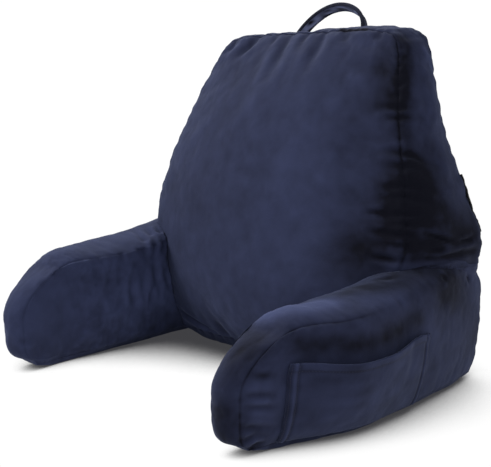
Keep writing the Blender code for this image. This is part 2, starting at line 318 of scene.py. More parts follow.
def surface_tree(piece):
    """A search tree of a piece's surface."""
    mesh = piece.data
    return BVHTree.FromPolygons(read_points(mesh).tolist(),
                                [face.vertices[:] for face in mesh.polygons])


PROBE = 0.03  # how far off its place a surface is looked for


def put_on(tree, points, out):
    """Moves each point along its way out onto the surface in a tree, where it meets that."""
    for number in range(len(points)):
        start = Vector(points[number] + PROBE * out[number])
        found = tree.ray_cast(start, Vector(-out[number]), 2 * PROBE)[0]
        if found is not None:
            points[number] = found


def lattice_noise(places, seed):
    """Smooth noise from -1 to 1, with one swing for each unit step."""
    places = places + seed * 17.31
    cell = np.floor(places)
    part = places - cell
    part = part * part * (3 - 2 * part)
    total = np.zeros(len(places))
    for corner in range(8):
        step = np.array([corner & 1, corner >> 1 & 1, corner >> 2 & 1])
        weight = np.prod(np.where(step, part, 1 - part), axis=1)
        mixed = np.sin((cell + step) @ np.array((12.9898, 78.233, 37.719))) * 43758.5453
        total += weight * (mixed - np.floor(mixed))
    return 2 * total - 1


# -------- filling the cushions
CLOTH_FRAMES = 20
CLOTH = dict(quality=4, mass=0.3, tension_stiffness=20, compression_stiffness=20,
             shear_stiffness=8, bending_stiffness=0.4, air_damping=2, use_pressure=True,
             uniform_pressure_force=4.0, shrink_min=-0.03, vertex_group_mass="held")
SWELL_CAP = 0.006  # the furthest that filling moves a point
BROAD_SHARE = 0.25  # share of the broad swell kept, since the skin has its crown already
BROAD_PASSES = 60


def fill(piece, skin, calm):
    """Fills a cushion by cloth simulation, held at its seams and base, and keeps its rumples."""
    rest = read_points(piece.data)
    held = piece.vertex_groups.new(name="held")
    held.add(np.flatnonzero(skin.held).tolist(), 1.0, "REPLACE")
    modifier = piece.modifiers.new("filling", "CLOTH")
    cloth = modifier.settings
    for name, value in CLOTH.items():
        setattr(cloth, name, value)
    cloth.effector_weights.gravity = 0
    modifier.collision_settings.use_collision = False
    modifier.point_cache.frame_end = CLOTH_FRAMES
    scene = bpy.context.scene
    for number in range(1, CLOTH_FRAMES + 1):
        scene.frame_set(number)
    shown = piece.evaluated_get(bpy.context.evaluated_depsgraph_get())
    moved = read_points(shown.data) - rest
    piece.modifiers.remove(modifier)
    piece.vertex_groups.clear()
    scene.frame_set(1)
    moved -= (1 - BROAD_SHARE) * ease(piece.data, moved, 0.5, BROAD_PASSES)
    size = np.linalg.norm(moved, axis=1, keepdims=True)
    moved *= np.tanh(size / SWELL_CAP) * SWELL_CAP / np.maximum(size, 1e-9)
    write_points(piece.data, rest + moved * calm[:, None])


def subdivide(piece):
    """Splits every face in four, smoothly, and keeps the result as the mesh."""
    modifier = piece.modifiers.new("finer", "SUBSURF")
    modifier.levels = 1
    shown = piece.evaluated_get(bpy.context.evaluated_depsgraph_get())
    mesh = bpy.data.meshes.new_from_object(shown)
    piece.modifiers.remove(modifier)
    piece.data = mesh
    mesh.shade_smooth()


# -------- seams, folds and rumples
FRONT, REAR = -1.0, 1.0  # depth of the front or inner panel, and of the rear or outer one
SEAM_WIDTH = 0.0035  # how far from a seam its drawn-in dip reaches
SEAM_LINE = 0.0022  # half width of a painted line along a seam: shade in its dip, or a highlight on a pocket's mouth
TURN_REACH = 0.02  # how far a strip is rounded off where it turns a corner
TURN_PASSES = 40
RELAX_SHARE = 0.6
PUCKER_WIDTH = 0.0035
PUCKER_LEAN = 0.2
# painted shade in each pucker's trough and painted light on its ridges
PUCKER_SHADE = 0.08


class Cover:
    """A cushion's cover, while its seams and folds are laid on it."""

    def __init__(self, name, skin, skin_at, half, calm, panel):
        self.skin_at = skin_at
        self.panel = panel
        self.half = np.array(half)
        self.piece = new_object(name, skin_at(*skin.place.T), skin.faces)
        attribute = self.piece.data.attributes.new("place", "FLOAT_VECTOR", "POINT")
        attribute.data.foreach_set("vector", skin.place.astype(np.float32).ravel())
        fill(self.piece, skin, calm(*skin.place.T))
        subdivide(self.piece)
        mesh = self.piece.data
        place = mesh.attributes["place"]
        self.place = np.clip(read_vectors(place.data, "vector"), -1, 1)
        mesh.attributes.remove(place)
        self.rest = skin_at(*self.place.T)
        self.lift = np.zeros(len(self.place))
        self.pile_and_painted_light = np.zeros(len(self.place))

    def seam_distance(self):
        """How far each point is from the nearest seam, in metres along the skin."""
        room = (1 - np.abs(self.place)) * self.half
        on_panel = np.abs(self.place[:, 2]) > NEAR_ONE
        return np.where(on_panel, np.minimum(room[:, 0], room[:, 1]), room[:, 2])

    def draw_in_seams(self, depth, shade, where=1.0):
        away = self.seam_distance()
        self.lift -= depth * np.exp(-away / SEAM_WIDTH) * where
        # a line of painted shade along the seam's dip
        self.pile_and_painted_light -= shade * np.exp(-(away / SEAM_LINE) ** 2) * where

    def relax(self, where, passes):
        """Rounds the cover off, where the given share is above 0."""
        mesh = self.piece.data
        share = RELAX_SHARE * np.clip(where, 0, 1)[:, None]
        write_points(mesh, ease(mesh, read_points(mesh), share, passes))

    def round_turns(self):
        """Rounds the strip off where it turns a top corner."""
        room = (1 - np.abs(self.place)) * self.half
        turn = np.exp(-(room[:, 0] ** 2 + room[:, 1] ** 2) / TURN_REACH ** 2)
        turn *= self.place[:, 1] > 0
        self.relax(turn * (1 - np.abs(self.place[:, 2]) ** 6), TURN_PASSES)

    def near_line(self, stops, width):
        """Points near a line over the skin: their numbers, distances in widths and shares of it.

        A stop of the line that is given by two numbers lies on the panel that is shown.
        """
        stops = np.array([(*stop, self.panel)[:3] for stop in stops], float)
        corners = self.skin_at(*stops.T)
        length = np.linalg.norm(np.diff(corners, axis=0), axis=1).sum()
        count = max(int(length / (0.4 * width)), 8)
        steps = np.linspace(0, len(stops) - 1, count)
        index = np.minimum(steps.astype(int), len(stops) - 2)
        part = (steps - index)[:, None]
        line = self.skin_at(*((1 - part) * stops[index] + part * stops[index + 1]).T)
        reach = 4 * width
        near = np.flatnonzero(np.all((self.rest > line.min(axis=0) - reach)
                                     & (self.rest < line.max(axis=0) + reach), axis=1))
        apart = np.linalg.norm(self.rest[near, None, :] - line[None, :, :], axis=2)
        closest = apart.argmin(axis=1)
        return near, apart[np.arange(len(near)), closest] / width, closest / (count - 1)

    def tone(self, stops, width, amount):
        """A soft patch along a line, painted lighter or darker: mostly painted light and shade,
        partly the pile's own patches.
        """
        near, away, _ = self.near_line(stops, width)
        self.pile_and_painted_light[near] += amount * np.exp(-away ** 2)

    def fold(self, stops, width, depth, ridge=0.35, one_end=False, shade=0.0):
        """A soft trough with a low ridge on each side, along places on the skin, with shade painted
        into the trough and light onto the ridges.
        """
        near, away, share = self.near_line(stops, width)
        fade = np.cos(pi / 2 * share) if one_end else np.sin(pi * np.clip(share, 0.04, 0.96)) ** 0.7
        trough = np.exp(-away ** 2)
        ridges = np.exp(-(away - 1.9) ** 2)
        self.lift[near] += depth * fade * (ridge * ridges - trough)
        self.pile_and_painted_light[near] += shade * fade * (0.5 * ridges - trough)

    def pucker(self, fixed, stretch, spacing, length, depth, seed):
        """Short folds that run off a seam into the cloth on both sides of it."""
        draw = np.random.default_rng(seed)
        free = ({0, 1, 2} - set(fixed)).pop()
        low, high = stretch
        count = int((high - low) * self.half[free] / spacing)
        for number in range(count):
            spot = low + (high - low) * (number + draw.uniform(0.1, 0.9)) / count
            size = draw.uniform(0.4, 1.0)
            tilt = draw.uniform(-PUCKER_LEAN, PUCKER_LEAN)
            for axis in fixed:
                start = np.array([fixed.get(other, spot) for other in range(3)])
                end = start.copy()
                run = length * size * draw.uniform(0.6, 1.2)
                end[axis] -= fixed[axis] * min(run / self.half[axis], 0.9)
                end[free] = np.clip(spot + tilt * run / self.half[free], -1, 1)
                self.fold((start, end), PUCKER_WIDTH * (0.7 + 0.6 * size), depth * size,
                          one_end=True, shade=PUCKER_SHADE)

    def rumple(self, rumples, rough, seed=0):
        """Low swells, their dips painted darker and tops lighter, as shade and pile mottle; some
        only where rough.
        """
        for depth, sizes, shade, step, only_rough in rumples:
            spots = self.place * self.half / np.array(sizes)
            swells = lattice_noise(spots, seed + step)
            swells += 0.5 * lattice_noise(spots * 2.1, seed + step + 3)
            if only_rough:
                swells *= rough
            self.lift += depth * swells
            self.pile_and_painted_light += shade * swells

    def lay(self):
        """Moves the cover's points, stores its painted light and shade with pile patches, and hands
        the cushion over.
        """
        mesh = self.piece.data
        out = read_vectors(mesh.vertex_normals, "vector")
        points = read_points(mesh) + out * self.lift[:, None]
        points[:, 2] = np.maximum(points[:, 2], 0)
        write_points(mesh, points)
        store_pile_and_painted_light(mesh, self.pile_and_painted_light)
        return self.piece


# -------- the back cushion
BACK_SEAM_DIP = 0.0022
# the line of painted shade along the back's seams
BACK_SEAM_SHADE = 0.5
FOLD_SHADE = 0.4  # how much painted shade darkens a fold's trough, and painted light its ridges
# painted shade and light in the deep creases where the back sinks
SINK_SHADE = 0.6

# folds are given as a line over the skin, half width and depth
# long soft folds that hang from the front panel's top seam
TOP_FOLDS = (
    (((-0.8, 1.0), (-0.86, 0.9)), 0.007, 0.003),
    (((-0.54, 1.0), (-0.6, 0.93), (-0.69, 0.84)), 0.008, 0.0045),
    (((-0.3, 1.0), (-0.33, 0.92)), 0.006, 0.002),
    (((-0.18, 1.0), (-0.16, 0.88), (-0.13, 0.74)), 0.009, 0.004),
    (((0.02, 1.0), (0.0, 0.93)), 0.006, 0.002),
    (((0.21, 1.0), (0.22, 0.9), (0.2, 0.78)), 0.009, 0.004),
    (((0.44, 1.0), (0.45, 0.92)), 0.007, 0.002),
    (((0.58, 0.83), (0.72, 0.79), (0.88, 0.77)), 0.01, 0.002),
    (((0.8, 1.0), (0.74, 0.93)), 0.008, 0.002),
)

# pulls across the right front seam, from the panel round to the side strip
SIDE_FOLDS = (
    (((0.86, 0.58), (1.0, 0.57), (1.0, 0.57, -0.7)), 0.0045, 0.0024),
    (((0.9, 0.51), (1.0, 0.52), (1.0, 0.52, -0.38)), 0.0045, 0.0026),
    (((0.85, 0.34), (1.0, 0.34), (1.0, 0.27, -0.3)), 0.005, 0.0034),
    (((0.9, 0.27), (1.0, 0.27), (1.0, 0.24, -0.5)), 0.0045, 0.0022),
    (((0.86, 0.14), (1.0, 0.15), (1.0, 0.11, -0.17)), 0.005, 0.0034),
    (((0.84, 0.09), (1.0, 0.1), (1.0, 0.07, -0.5)), 0.0045, 0.0028),
    (((0.82, -0.02), (1.0, 0.0), (1.0, -0.01, -0.6)), 0.005, 0.0034),
    (((0.9, -0.06), (1.0, -0.05), (1.0, -0.06, -0.2)), 0.0045, 0.0024),
)

# the deep creases where the back sinks between the arms, right side
SINK_FOLDS = (
    (((1.0, -0.1, -0.66), (1.0, -0.13, -0.4), (1.0, -0.155, -0.14), (1.0, -0.17, 0.1)),
     0.0032, 0.0056),
    (((1.0, -0.17, 0.16), (1.0, -0.175, 0.4), (1.0, -0.17, 0.66)), 0.0032, 0.005),
    (((1.0, -0.2, -0.56), (1.0, -0.21, -0.22)), 0.0036, 0.0034),
    (((0.82, -0.24), (0.93, -0.25), (0.99, -0.26)), 0.0042, 0.0044),
    (((1.0, -0.25, -0.85), (1.0, -0.25, -0.2), (1.0, -0.24, 0.3), (1.0, -0.25, 0.8)),
     0.004, 0.0046),
    (((0.8, -0.1), (0.94, -0.11), (1.0, -0.12, -0.95)), 0.004, 0.0036),
    (((0.78, 0.0), (0.9, 0.01)), 0.004, 0.0024),
)
# where the right side stands out over the arm
HIP_SWELL = (((1.0, -0.02, 0.9), (1.0, -0.18, 0.9), (1.0, -0.36, 0.9)), 0.02, -0.006)

# tucks in the panel's foot, by the left arm and beside it
FOOT_FOLDS = (
    (((-0.99, -0.8), (-0.985, -0.95)), 0.004, 0.005),
    (((-0.93, -0.88), (-0.72, -0.93), (-0.52, -0.965)), 0.005, 0.0036),
    (((-0.42, -0.84), (-0.38, -0.98)), 0.008, 0.0024),
    (((-0.1, -0.88), (-0.08, -0.99)), 0.008, 0.002),
)

# painted light and shade on the back, partly the pile's own patches: line, half width, amount
BACK_TONES = (
    (((0.99, 0.06), (0.92, -0.08), (0.82, -0.18), (0.72, -0.26)), 0.037, -1.15),
    (((0.92, -0.19), (0.99, -0.19)), 0.004, 0.6),
    (((0.99, 0.14), (0.99, -0.2)), 0.03, -0.45),
    (((0.88, 0.84), (0.97, 0.6)), 0.026, -0.8),
    (((0.97, 0.6), (0.99, 0.2)), 0.022, -0.45),
    (((1.0, 0.22, -0.6), (1.0, -0.05, -0.25), (1.0, -0.12, 0.5)), 0.04, -1.0),
    (((1.0, -0.14, -0.5), (1.0, -0.15, 0.45)), 0.016, -0.4),
    (((1.0, -0.2, -0.8), (1.0, -0.25, 0.0), (1.0, -0.27, 0.6)), 0.02, -0.65),
    (((-0.965, -0.8), (-0.97, -0.93)), 0.004, 0.9),
    (((-0.9, -0.97), (-0.5, -0.985), (0.1, -0.99)), 0.007, 0.6),
    (((1.0, 0.98, -0.65), (1.0, 0.72, -0.85)), 0.014, -1.05),
    (((1.0, 0.72, -0.85), (1.0, 0.1, -0.75)), 0.01, -0.5),
    (((1.0, 0.9, 0.3), (1.0, 0.74, 0.85), (1.0, 0.6, REAR)), 0.006, 0.9),
    (((0.36, 1.0, -0.92), (0.62, 1.0, -0.92)), 0.003, -1.6),
    (((0.28, 0.5), (0.38, 0.05), (0.36, -0.3), (0.35, -0.55)), 0.06, 0.4),
    (((-0.1, 0.9), (-0.1, 0.3), (-0.1, -0.4)), 0.07, 0.12),
)

# gathers along the seams: seam, stretch of it, spacing, length and depth
BACK_PUCKERS = (
    ({1: 1, 2: FRONT}, (-0.95, 0.95), 0.022, 0.03, 0.0008),
    ({1: 1, 2: REAR}, (-0.95, 0.95), 0.022, 0.026, 0.0007),
    ({0: 1, 2: FRONT}, (-0.3, 0.95), 0.013, 0.03, 0.0009),
    ({0: -1, 2: FRONT}, (-0.3, 0.95), 0.03, 0.026, 0.0003),
    ({0: 1, 2: REAR}, (-0.3, 0.95), 0.022, 0.026, 0.0005),
    ({0: -1, 2: REAR}, (-0.3, 0.95), 0.022, 0.026, 0.0005),
    ({1: -1, 2: FRONT}, (-0.9, 0.9), 0.026, 0.03, 0.001),
)
# uneven swells: depth, sizes across, up and through, painted shade of dips and tops, seed, only
# where rough
BACK_RUMPLES = (
    (0.001, (0.045, 0.055, 0.04), 0.15, 2, False),
    (0.0004, (0.014, 0.016, 0.014), 0.25, 5, False),
    (0.0006, (0.024, 0.014, 0.02), 0.22, 8, True),
)


def calm_back(across, up, depth):
    """How much of the simulated rumpling each place keeps."""
    return np.where(depth < -NEAR_ONE, 0.55 - 0.35 * smooth_step(0.2, -0.6, up), 0.8)


def make_back():
    cover = Cover("back_pillow", Skin(BACK_CELLS), back_skin, BACK_HALF, calm_back, FRONT)
    across, _, depth = cover.place.T
    cover.draw_in_seams(BACK_SEAM_DIP, BACK_SEAM_SHADE)
    cover.round_turns()
    for folds in (TOP_FOLDS, SIDE_FOLDS, FOOT_FOLDS):
        for line in folds:
            cover.fold(*line, shade=FOLD_SHADE)
    for line in SINK_FOLDS:
        cover.fold(*line, ridge=0.5, shade=SINK_SHADE)
    cover.fold(*HIP_SWELL, ridge=0.0)
    for line in BACK_TONES:
        cover.tone(*line)
    for seed, seam in enumerate(BACK_PUCKERS, start=11):
        cover.pucker(*seam, seed)
    rough = (depth < -NEAR_ONE) * smooth_step(0.35, 0.7, across)
    cover.rumple(BACK_RUMPLES, rough)
    return cover.lay()


# -------- the arms
POCKET_CALM = 0.15
ARM_SEAM_DIP = 0.0016
# painted shade along each arm's seams, and painted shade and light in its folds
ARM_SEAM_SHADE = {"left": 0.2, "right": 0.6}
ARM_FOLD_SHADE = {"left": 0.4, "right": 0.8}
ARM_SEEDS = {"left": 40, "right": 60}
SHOWN_PANEL = {"left": FRONT, "right": REAR}
TOUCH_GAP = 0.0006  # left between an arm and the back cushion's side
BACK_REACH = -0.06  # the back cushion's side begins behind this Y
SOFT_ALONG = (0.30, 0.0)  # where the right arm's outer top seam is lost in its filling
SOFT_UP = (0.3, 0.6)
SOFT_REACH = 0.020
SOFT_PASSES = 120

# creases in the right arm's outer panel by the tip, and along its outer seam
OUTER_FOLDS = (
    (((0.99, 0.4), (0.9, 0.3), (0.84, 0.26)), 0.0045, 0.0016),
    (((0.98, 0.07), (0.92, 0.01), (0.83, -0.06)), 0.0045, 0.0024),
    (((0.97, -0.14), (0.9, -0.2), (0.83, -0.27)), 0.0042, 0.0024),
    (((0.98, -0.51), (0.92, -0.56), (0.82, -0.66)), 0.005, 0.0036),
    (((0.99, -0.74), (0.92, -0.7), (0.83, -0.8)), 0.0048, 0.0034),
    (((0.97, -0.97), (0.9, -0.9), (0.84, -0.92)), 0.005, 0.003),
    (((-0.16, 1.0, -0.05), (-0.24, 1.0, 0.2)), 0.006, 0.0022),
    (((-0.53, 0.99), (-0.58, 0.92)), 0.0045, 0.002),
    (((-0.84, 0.7), (-0.86, 0.58)), 0.004, 0.0026),
    (((-0.81, 0.62), (-0.84, 0.52)), 0.004, 0.0022),
)
# gathers where the left arm is sewn to the back
ROOT_FOLDS = (
    (((-0.27, 1.0, -0.1), (-0.21, 1.0, -0.6), (-0.17, 0.93), (-0.14, 0.78)), 0.0048, 0.004),
    (((-0.19, 1.0, 0.2), (-0.14, 1.0, -0.5), (-0.09, 0.95), (-0.06, 0.78)), 0.0048, 0.0036),
    (((-0.08, 1.0, 0.1), (-0.04, 1.0, -0.7), (0.01, 0.88)), 0.005, 0.0028),
    (((-0.23, 0.9), (-0.2, 0.68), (-0.2, 0.4)), 0.0048, 0.004),
    (((-0.15, 0.62), (-0.15, 0.35), (-0.18, 0.05)), 0.0048, 0.003),
    (((-0.07, 0.55), (-0.06, 0.25)), 0.0045, 0.0028),
    (((0.02, 0.6), (0.05, 0.3), (0.04, 0.05)), 0.0055, 0.0028),
    (((-0.02, 0.1), (0.0, -0.25)), 0.005, 0.0024),
    (((0.14, 0.55), (0.16, 0.2), (0.14, -0.1)), 0.0055, 0.0026),
    (((0.24, 0.25), (0.26, -0.15)), 0.0055, 0.002),
    (((0.33, 0.6), (0.35, 0.3)), 0.0055, 0.0018),
)
ARM_FOLDS = {"left": ROOT_FOLDS, "right": OUTER_FOLDS}

# painted light and shade on the right arm, partly the pile's own patches: line, half width, amount
OUTER_TONES = (
    (((0.76, 1.0, -0.45), (0.55, 1.0, 0.1), (0.36, 1.0, 0.1)), 0.023, 2.55),
    (((0.12, 1.0, 0.6), (-0.08, 1.0, 0.8)), 0.017, 1.0),
    (((0.2, 1.0, -0.1), (0.03, 1.0, -0.15)), 0.018, -0.8),
    (((-0.05, 1.0, 0.2), (-0.28, 1.0, 0.15), (-0.5, 1.0, 0.45), (-0.62, 0.8)), 0.034, -1.15),
    (((1.0, 0.97, -0.2), (1.0, 0.72, 0.0)), 0.03, -0.95),
    (((1.0, 0.4, 0.1), (1.0, -0.1, -0.1)), 0.024, -0.2),
    (((1.0, -0.38, -0.1), (1.0, -0.9, 0.3)), 0.03, -1.0),
    (((0.7, 0.62), (0.2, 0.56), (-0.2, 0.6)), 0.014, -1.05),
    (((-0.3, -0.7), (-0.9, -0.5)), 0.03, -0.3),
    (((0.93, 0.05), (0.9, -0.55)), 0.014, 0.3),
    (((-0.5, 0.55), (-0.75, 0.2), (-0.95, -0.4)), 0.03, -0.55),
)
# painted light on the left arm's inner panel and top, partly the pile's own patches; line, half
# width, amount
INNER_TONES = (
    (((0.8, 0.15), (0.3, 0.05), (-0.25, 0.05)), 0.06, 0.75),
    (((0.1, 0.2), (-0.25, 0.0)), 0.05, 1.0),
    (((0.7, 0.92), (0.2, 0.88), (-0.15, 0.85)), 0.014, 0.55),
    (((1.0, 0.4, -0.6), (1.0, -0.4, -0.6)), 0.022, 0.35),
    (((0.7, 1.0, -0.2), (0.2, 1.0, -0.2), (-0.15, 1.0, -0.3)), 0.024, 0.5),
)
ARM_TONES = {"left": INNER_TONES, "right": OUTER_TONES}

ARM_PUCKERS = (
    ({1: 1}, (-0.9, 0.9), 0.03, 0.024, 0.0003),
    ({0: 1}, (-0.8, 0.9), 0.028, 0.022, 0.0004),
    ({0: -1}, (-0.8, 0.9), 0.024, 0.022, 0.0005),
    ({1: -1}, (-0.9, 0.9), 0.026, 0.022, 0.0003),
)
ARM_RUMPLES = (
    (0.0012, (0.012, 0.034, 0.03), 0.35, 0, True),
    (0.001, (0.05, 0.04, 0.04), 0.15, 2, False),
    (0.0006, (0.01, 0.012, 0.02), 0.45, 8, True),
    (0.0004, (0.014, 0.016, 0.014), 0.25, 5, False),
)


def calm_arm(along, up, depth):
    under_pocket = (depth > NEAR_ONE) & (up < POCKET_UP[1] + 0.15)
    under_pocket &= (along > POCKET_REAR[0] - 0.1) & (along < POCKET_FRONT[0] + 0.1)
    open_skin = np.where(depth < -NEAR_ONE, 0.6, np.where(depth > NEAR_ONE, 0.25, 0.35))
    return np.where(under_pocket, POCKET_CALM, open_skin)


def clear_of_back(piece, side, back_tree):
    """Presses an arm's skin out to the back cushion's side where the two would overlap."""
    points = read_points(piece.data)
    sign = SIDE_SIGN[side]
    for number in np.flatnonzero(points[:, 1] > BACK_REACH):
        x, y, z = points[number]
        found = back_tree.ray_cast(Vector((sign, y, z)), Vector((-sign, 0, 0)))[0]
        if found is not None and sign * found.x + TOUCH_GAP > sign * x:
            points[number, 0] = found.x + sign * TOUCH_GAP
    write_points(piece.data, points)


def make_arm(side, back_tree):
    seed = ARM_SEEDS[side]
    cover = Cover("arm_pillow_" + side, Skin(ARM_CELLS), partial(arm_skin, side), ARM_HALF,
                  calm_arm, SHOWN_PANEL[side])
    along, up, depth = cover.place.T
    sewn = 1.0
    if side == "right":
        soft = smooth_step(*SOFT_ALONG, along) * smooth_step(*SOFT_UP, up) * (depth > -0.5)
        sewn = 1 - soft
        cover.relax(soft * np.exp(-(cover.seam_distance() / SOFT_REACH) ** 2), SOFT_PASSES)
    cover.round_turns()
    cover.draw_in_seams(ARM_SEAM_DIP, ARM_SEAM_SHADE[side], where=sewn)
    for line in ARM_FOLDS[side]:
        cover.fold(*line, shade=ARM_FOLD_SHADE[side])
    for line in ARM_TONES[side]:
        cover.tone(*line)
    for panel in (FRONT, REAR):
        for number, (edge, *gathers) in enumerate(ARM_PUCKERS):
            cover.pucker({**edge, 2: panel}, *gathers, seed + 1 + 3 * number + int(panel))
    rough = (depth < -NEAR_ONE) * smooth_step(0.75, 0.5, along)
    cover.rumple(ARM_RUMPLES, rough, seed)
    arm = cover.lay()
    clear_of_back(arm, side, back_tree)
    return arm


# -------- the pockets
POCKET_SHEET = 0.0022
REAR_CORNER_DROP = 0.11  # how far the mouth's rear corner hangs lower, in shares of the arm
REAR_CORNER_SHARE = 0.08
POCKET_CELLS = (110, 44)
HEM_DEPTH = 0.013  # the mouth's turned hem
HEM_EXTRA = 0.0012
HEM_STEP = 0.001
POCKET_FLAT = (0.225, 0.120)
STITCH = (0.0026, 0.0006, 0.0005)  # length, width, height of one stitch
STITCH_STEP = 0.0036
STITCH_SINK = 0.2  # share of its half height that a stitch sinks in
STITCH_CORNERS = ((-1, -1, -1), (1, -1, -1), (1, 1, -1), (-1, 1, -1),
                  (-0.7, -0.6, 1), (0.7, -0.6, 1), (0.7, 0.6, 1), (-0.7, 0.6, 1))
SIDE_ROWS = (0.0022, 0.0105)  # distance of the two side seams from the pocket's edge
HEM_ROW = 0.0110
SIDE_ROW_ENDS = (0.03, 0.985)  # shares of the pocket's height and width
HEM_ROW_ENDS = (0.06, 0.945)
WELT_WIDTH = 0.0022  # half width of the ridge between the two side seams
WELT = 0.0012
SEWN_DIP = 0.0008
# two sizes, seed and amount of each swing in the pocket's cloth and in its pile's tone
RIPPLES = ((0.030, 0.055, 71, 0.0011), (0.012, 0.020, 72, 0.0004))
POCKET_CLOUDS = ((0.020, 0.020, 75, 0.35), (0.035, 0.012, 77, 0.25))
# how much darker the whole pocket is drawn
POCKET_BASE_TONE = -0.10
RIPPLE_SINK = 0.0006  # the most that a ripple goes inwards
SLACK_RISE = 0.2  # share of the height over which the cloth is held flat by its foot


def outward(side, along, up):
    """The direction straight out of an arm's outer panel, as rows."""
    step = 0.02
    one = np.ones_like(up)
    wide = arm_skin(side, along + step, up, one) - arm_skin(side, along - step, up, one)
    high = arm_skin(side, along, up + step, one) - arm_skin(side, along, up - step, one)
    normal = unit(np.cross(wide, high))
    return normal * SIDE_SIGN[side] * np.sign(normal[:, :1])


def pocket_places(side, run, rise, tree, seat=True):
    """Where a pocket's inner face is, and the way out of it, at shares of its width and height.

    The points lie off the arm in the tree, or with seat off on the surface in the tree.
    """
    rear = POCKET_REAR[0] + (POCKET_REAR[1] - POCKET_REAR[0]) * rise
    front = POCKET_FRONT[0] + (POCKET_FRONT[1] - POCKET_FRONT[0]) * rise
    along = rear + (front - rear) * run
    bow = np.sin(pi * np.clip(run, 0, 1) ** POCKET_SKEW)
    up = POCKET_UP[0] + (POCKET_UP[1] - POCKET_UP[0]) * rise - POCKET_SAG * bow * rise
    up = up - REAR_CORNER_DROP * np.exp(-(run / REAR_CORNER_SHARE) ** 2) * rise
    gap = POCKET_SEAT + POCKET_GAPE * (bow * np.clip(rise, 0, 1)) ** POCKET_FULLNESS
    foot = arm_skin(side, along, up, np.ones_like(along))
    normal = outward(side, along, up)
    put_on(tree, foot, normal)
    return foot + normal * gap[:, None] * seat, normal


def sheet_noise(spread, swings):
    """Smooth noise over a flat sheet, of swings with their two sizes, seed and amount."""
    return sum(amount * lattice_noise(spread / np.array((wide, high, 1)), seed)
               for wide, high, seed, amount in swings)


def make_pocket(side, arm_tree):
    columns, rows = POCKET_CELLS
    rise, run = np.indices((rows + 1, columns + 1)).reshape(2, -1) / [[rows], [columns]]
    inner, normal = pocket_places(side, run, rise, arm_tree)
    height = POCKET_FLAT[1]
    from_mouth = (1 - rise) * height
    hem = smooth_step(HEM_DEPTH + HEM_STEP, HEM_DEPTH - HEM_STEP, from_mouth)
    spread = np.stack((run * POCKET_FLAT[0], rise * height, 0 * run), axis=1)
    slack = np.sin(pi * run) ** 0.5 * smooth_step(0.0, SLACK_RISE, rise)
    inner += normal * (np.maximum(sheet_noise(spread, RIPPLES), -RIPPLE_SINK) * slack)[:, None]
    from_side = np.minimum(run, 1 - run) * POCKET_FLAT[0]
    rows_at = [np.abs(from_side - inset) for inset in SIDE_ROWS] + [np.abs(from_mouth - HEM_ROW)]
    sewn = np.exp(-(np.min(rows_at, axis=0) / SEAM_LINE) ** 2)
    welt = np.exp(-((from_side - np.mean(SIDE_ROWS)) / WELT_WIDTH) ** 2)
    thick = POCKET_SHEET + HEM_EXTRA * hem - SEWN_DIP * sewn + WELT * welt
    outer = inner + normal * thick[:, None]
    count = len(inner)
    grid = np.arange(count).reshape(rows + 1, columns + 1).tolist()
    faces = []
    for low, high in zip(grid, grid[1:]):
        for column in range(columns):
            ring = [low[column], low[column + 1], high[column + 1], high[column]]
            faces.append(ring[::-1])
            faces.append([corner + count for corner in ring])
    rim = grid[0] + [row[-1] for row in grid[1:]]
    rim += grid[-1][-2::-1] + [row[0] for row in grid[-2:0:-1]]
    for here, there in zip(rim, rim[1:] + rim[:1]):
        faces.append([here, there, there + count, here + count])
    piece = new_object("pocket_patch_" + side, np.concatenate((inner, outer)), faces)
    shade = POCKET_BASE_TONE + sheet_noise(spread, POCKET_CLOUDS)
    # painted highlights on the welt's ridge and along the mouth's edge, painted shade in the
    # stitched dips
    shade += 0.6 * welt - 0.7 * sewn + 0.7 * np.exp(-(from_mouth / SEAM_LINE) ** 2)
    store_pile_and_painted_light(piece.data, np.concatenate((shade, shade)))
    return piece


def make_stitches(side, pocket):
    """The sewn lines of a pocket: two down each end and one under the hem of its mouth."""
    tree = surface_tree(pocket)
    wide, high = POCKET_FLAT
    half_length, half_width, half_height = np.array(STITCH) / 2
    rows = []
    for inset in SIDE_ROWS:
        for run in (inset / wide, 1 - inset / wide):
            rows.append([(run, rise) for rise in np.arange(*SIDE_ROW_ENDS, STITCH_STEP / high)])
    hem = 1 - HEM_ROW / high
    rows.append([(run, hem) for run in np.arange(*HEM_ROW_ENDS, STITCH_STEP / wide)])
    places = []
    for row in rows:
        run, rise = np.array(row).T
        foot, normal = pocket_places(side, run, rise, tree, seat=False)
        onwards = unit(np.gradient(foot, axis=0))
        across = np.cross(normal, onwards)
        for here, out, along, aside in zip(foot, normal, onwards, across):
            for a, b, c in STITCH_CORNERS:
                places.append(here + along * a * half_length + aside * b * half_width
                              + out * (c - STITCH_SINK) * half_height)
    pairs = np.arange(len(places)).reshape(-1, 2, 4).tolist()
    faces = [face for rings in pairs for face in tube_faces(rings)]
    return new_object("pocket_stitches_" + side, places, faces)


# -------- the strap and the zip
HANDLE_STEPS = 64
HANDLE_RUCK = 0.0007  # depth of the small gathers across the strap
HANDLE_FACE = 0.85  # share of the strap's width inside its two rims
HANDLE_FEET = 0.42  # share of its length from the middle to where a foot begins
# painted sheen and shade on the strap: its face lighter than its rims, a highlight on each gather,
# shade at its feet
HANDLE_SHEEN_AND_SHADE = {"face": -0.10, "rest": -1.15, "gathers": 2.4, "feet": -0.6}
# a quarter of the strap's outline, from its edge over the stuffed rib there to its middle
HANDLE_QUARTER = ((1.0, 0.0), (0.97, 0.75), (0.90, 1.0), (0.80, 0.85), (0.72, 0.55),
                  (0.62, 0.70), (0.3, 0.85), (0.0, 0.9))


def strip_mesh(name, path, wide, out, outline):
    """A closed bar along a path; its outline is in shares of wide and out."""
    places = []
    for middle, sideways, outwards in zip(path, wide, out):
        places += [middle + sideways * a + outwards * b for a, b in outline]
    rings = np.arange(len(places)).reshape(-1, len(outline)).tolist()
    return new_object(name, places, tube_faces(rings))


